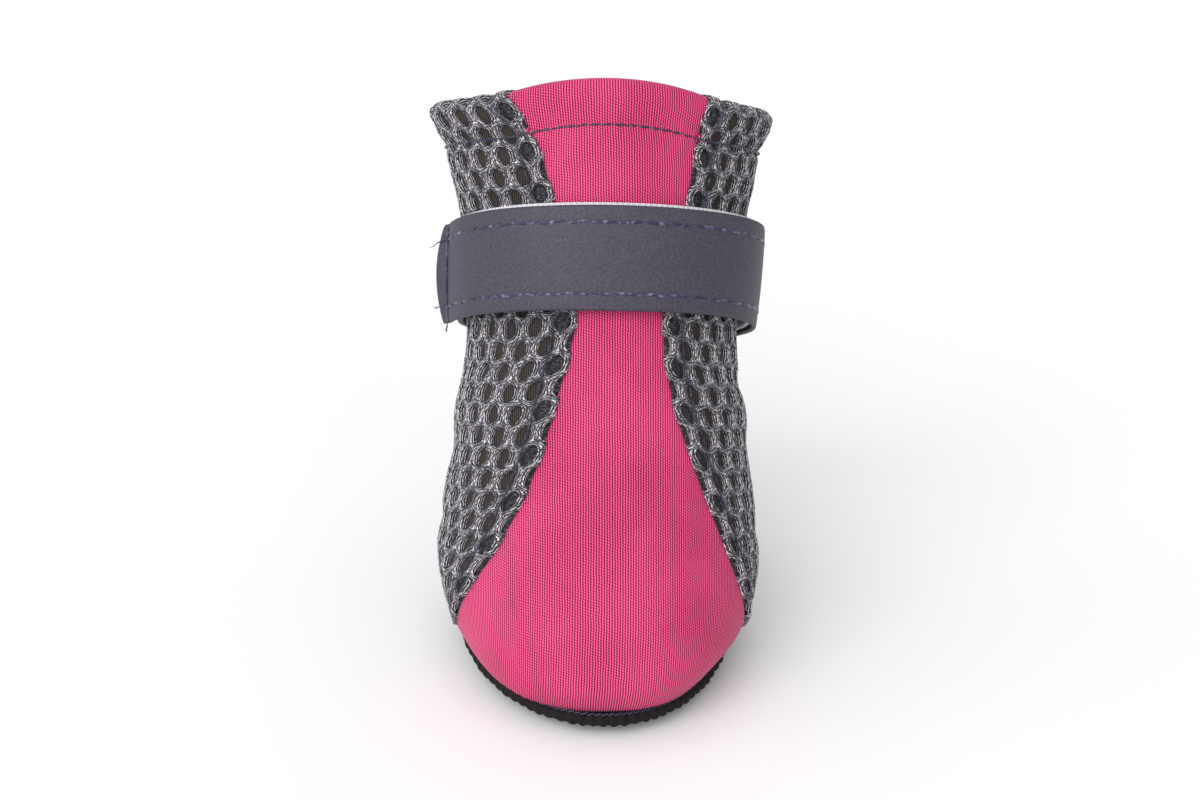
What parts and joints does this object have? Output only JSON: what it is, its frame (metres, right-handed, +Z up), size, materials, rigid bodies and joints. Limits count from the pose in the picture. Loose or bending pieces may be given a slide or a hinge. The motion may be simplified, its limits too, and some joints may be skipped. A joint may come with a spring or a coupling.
{
  "type": "dog boot",
  "caption": "Soft dog boot: stretch front panel, open spacer-mesh sides and back, thin grip sole and a reflective strap that closes round the pastern.",
  "frame": {"origin": "on the ground under the middle of the boot's box", "axes": "+Z up, toe towards -Y, X across the boot"},
  "size_m": [0.0696, 0.0907, 0.1168],
  "materials": {
    "sole_rubber": "soft matte black, small grip dots and a corded edge",
    "insole_fabric": "plain brushed sock lining",
    "stretch_front": "bright pink stretch knit over thin foam, fine upright wales",
    "spacer_mesh": "grey spacer mesh with oval holes and shiny filaments",
    "reflective_tape": "grey reflective tape, fine grain, satin",
    "hook_tape": "pale ribbed hook tape",
    "loop_tape": "dark brushed loop tape",
    "thread": "navy sewing thread"
  },
  "bodies": {
    "root": {"outsole": "sole_rubber", "insole": "insole_fabric", "upper": "stretch_front", "strap_band": "reflective_tape", "strap_hook_tape": "hook_tape", "loop_band": "loop_tape"}
  },
  "joints": []
}
